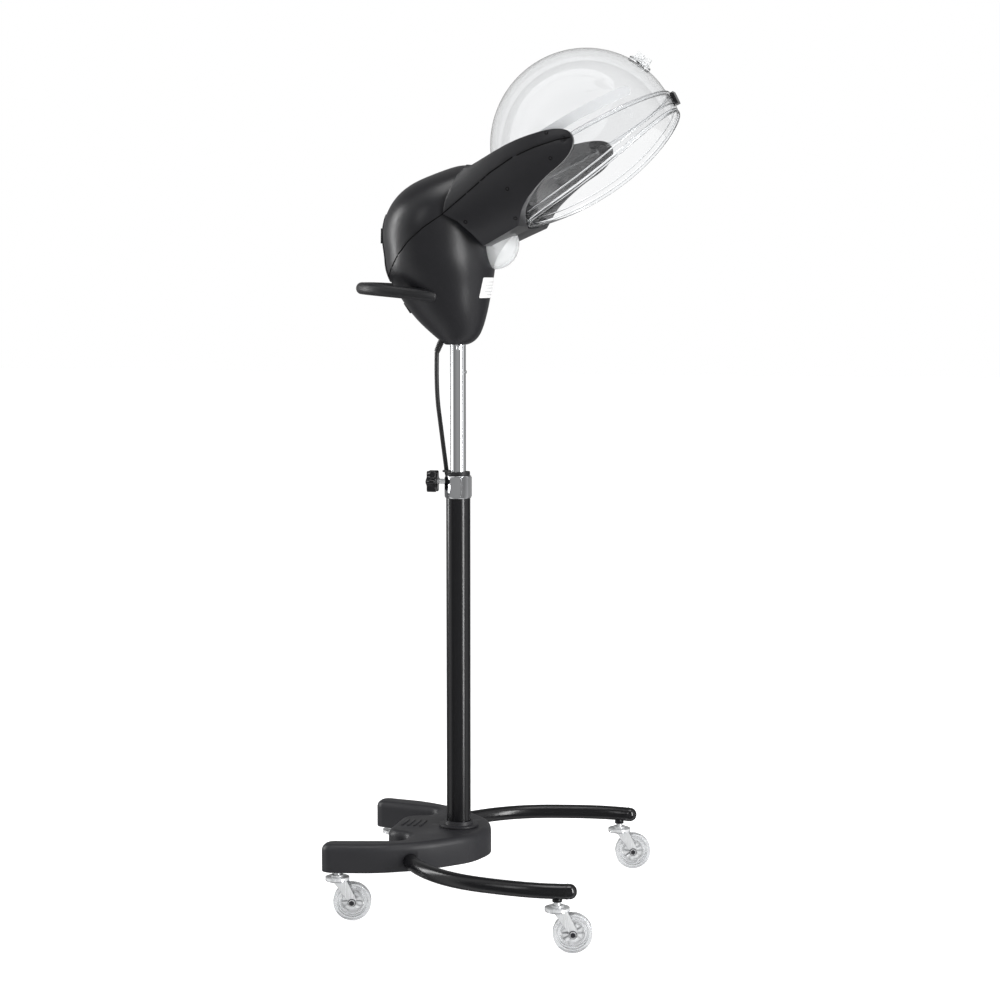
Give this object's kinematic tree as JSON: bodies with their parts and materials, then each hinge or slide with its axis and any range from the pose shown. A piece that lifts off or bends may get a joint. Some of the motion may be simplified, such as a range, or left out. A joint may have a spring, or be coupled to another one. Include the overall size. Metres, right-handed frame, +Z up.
{
  "type": "hood hair dryer",
  "caption": "Salon hood hair dryer: clear round hood held by a forked black fan housing, height-adjustable mast and wheeled stand.",
  "frame": {"origin": "on the floor under the middle of the object's footprint", "axes": "+Z up, -Y the way the hood's face opening points, X across the object; left is the -X side"},
  "size_m": [0.5585, 0.5354, 1.363],
  "materials": {
    "black_moulding": "fine satin moulding",
    "satin_black": "satin, softly reflective",
    "soft_black": "soft grip",
    "gloss_black": "high gloss",
    "black_steel": "gloss powder coat",
    "zinc_steel": "zinc plated",
    "chrome": "mirror",
    "clear_plastic": "clear acrylic",
    "clear_hood": "clear polycarbonate",
    "clear_wheel": "clear polyurethane",
    "button_grey": "satin",
    "white_label": "paper label",
    "cord_rubber": "matt rubber"
  },
  "bodies": {
    "base": {"base_cover_front": "black_moulding", "base_cover_rear": "black_moulding", "base_plate": "black_steel", "front_leg_bow": "black_steel", "leg_end_caps": "gloss_black", "caster_bosses": "black_steel", "caster_stems": "zinc_steel", "column_tube": "black_steel", "column_ring": "black_moulding", "clamp_collar": "chrome", "cord_clip": "black_moulding", "coil_holder": "black_moulding", "cord_coil": "cord_rubber", "cord_store": "cord_rubber", "cord_tail": "cord_rubber", "mains_plug": "cord_rubber"},
    "clamp": {"knob_screw": "zinc_steel", "clamp_knob": "gloss_black"},
    "bush": {"guide_bush": "black_moulding", "cord_hook": "black_moulding", "cord_lower": "cord_rubber"},
    "head": {"mast_tube": "chrome", "handle": "soft_black", "rear_cover": "satin_black", "stem_body": "satin_black", "arm_top_shell": "satin_black", "arm_side_left": "satin_black", "arm_side_right": "satin_black", "control_panel": "gloss_black", "label_plate": "white_label", "strain_relief": "cord_rubber", "mast_socket": "zinc_steel", "fan_case": "black_moulding", "fan_motor": "zinc_steel", "heater": "zinc_steel", "hood_dome": "clear_hood", "hood_rear_skirt": "clear_hood", "visor_pins": "gloss_black", "intake_cover": "clear_plastic", "vent_rivet": "zinc_steel", "cord_upper": "cord_rubber"},
    "detent": {"detent_button": "chrome"},
    "visor": {"visor": "clear_hood", "visor_clip": "gloss_black"},
    "vent": {"vent_dial": "clear_plastic"},
    "impeller": {"fan_impeller": "black_moulding"},
    "rocker": {"rocker_switch": "gloss_black"},
    "button_1": {"panel_button_1": "button_grey"},
    "button_2": {"panel_button_2": "button_grey"},
    "button_3": {"panel_button_3": "button_grey"},
    "button_4": {"panel_button_4": "button_grey"},
    "fork_rear_left": {"caster_fork_rear_left": "zinc_steel"},
    "wheel_rear_left": {"caster_wheel_rear_left": "clear_wheel"},
    "fork_rear_right": {"caster_fork_rear_right": "zinc_steel"},
    "wheel_rear_right": {"caster_wheel_rear_right": "clear_wheel"},
    "fork_front_left": {"caster_fork_front_left": "zinc_steel"},
    "wheel_front_left": {"caster_wheel_front_left": "clear_wheel"},
    "fork_front_right": {"caster_fork_front_right": "zinc_steel"},
    "wheel_front_right": {"caster_wheel_front_right": "clear_wheel"}
  },
  "joints": [
    {"name": "clamp_turn", "type": "hinge", "parent": "base", "child": "clamp", "pos_m": [0, 0.1155, 0.6825], "axis": [0, 1, 0], "range_deg": [-30, 330]},
    {"name": "head_swivel", "type": "hinge", "parent": "base", "child": "bush", "pos_m": [0, 0.0855, 0.69], "axis": [0, 0, 1], "range_deg": [-120, 8], "deforming": ["cord_lower"]},
    {"name": "height_slide", "type": "slide", "parent": "bush", "child": "head", "axis": [0, 0, 1], "range_m": [-0.12, 0.14], "deforming": ["cord_upper"]},
    {"name": "detent_press", "type": "slide", "parent": "head", "child": "detent", "axis": [0, 1, 0], "range_m": [0, 0.0018], "stiffness_N_per_m": 600, "springref_m": -0.0005},
    {"name": "visor_lift", "type": "hinge", "parent": "head", "child": "visor", "pos_m": [0, -0.1205, 1.214], "axis": [-1, 0, 0], "range_deg": [0, 14]},
    {"name": "vent_turn", "type": "hinge", "parent": "head", "child": "vent", "pos_m": [0, -0.20555, 1.3376], "axis": [0, -0.5669, 0.8238], "range_deg": [0, 60]},
    {"name": "fan_spin", "type": "hinge", "parent": "head", "child": "impeller", "pos_m": [0, 0.1175, 1.071], "axis": [0, 0.8567, -0.5158], "continuous": true},
    {"name": "rocker_tip", "type": "hinge", "parent": "head", "child": "rocker", "pos_m": [0, 0.16386, 0.96084], "axis": [1, 0, 0], "range_deg": [-7, 7]},
    {"name": "button_1_press", "type": "slide", "parent": "head", "child": "button_1", "axis": [0, -1, 0], "range_m": [0, 0.0015], "stiffness_N_per_m": 500, "springref_m": -0.0005},
    {"name": "button_2_press", "type": "slide", "parent": "head", "child": "button_2", "axis": [0, -1, 0], "range_m": [0, 0.0015], "stiffness_N_per_m": 500, "springref_m": -0.0005},
    {"name": "button_3_press", "type": "slide", "parent": "head", "child": "button_3", "axis": [0, -1, 0], "range_m": [0, 0.0015], "stiffness_N_per_m": 500, "springref_m": -0.0005},
    {"name": "button_4_press", "type": "slide", "parent": "head", "child": "button_4", "axis": [0, -1, 0], "range_m": [0, 0.0015], "stiffness_N_per_m": 500, "springref_m": -0.0005},
    {"name": "swivel_rear_left", "type": "hinge", "parent": "base", "child": "fork_rear_left", "pos_m": [-0.163, 0.2415, 0.07], "axis": [0, 0, 1], "continuous": true},
    {"name": "roll_rear_left", "type": "hinge", "parent": "fork_rear_left", "child": "wheel_rear_left", "pos_m": [-0.15764, 0.21882, 0.03], "axis": [0.9732, 0.23, 0], "continuous": true},
    {"name": "swivel_rear_right", "type": "hinge", "parent": "base", "child": "fork_rear_right", "pos_m": [0.163, 0.2415, 0.07], "axis": [0, 0, 1], "continuous": true},
    {"name": "roll_rear_right", "type": "hinge", "parent": "fork_rear_right", "child": "wheel_rear_right", "pos_m": [0.16836, 0.21882, 0.03], "axis": [0.9732, 0.23, 0], "continuous": true},
    {"name": "swivel_front_left", "type": "hinge", "parent": "base", "child": "fork_front_left", "pos_m": [-0.2586, -0.1323, 0.07], "axis": [0, 0, 1], "continuous": true},
    {"name": "roll_front_left", "type": "hinge", "parent": "fork_front_left", "child": "wheel_front_left", "pos_m": [-0.25324, -0.15498, 0.03], "axis": [0.9732, 0.23, 0], "continuous": true},
    {"name": "swivel_front_right", "type": "hinge", "parent": "base", "child": "fork_front_right", "pos_m": [0.2586, -0.1323, 0.07], "axis": [0, 0, 1], "continuous": true},
    {"name": "roll_front_right", "type": "hinge", "parent": "fork_front_right", "child": "wheel_front_right", "pos_m": [0.26396, -0.15498, 0.03], "axis": [0.9732, 0.23, 0], "continuous": true}
  ]
}
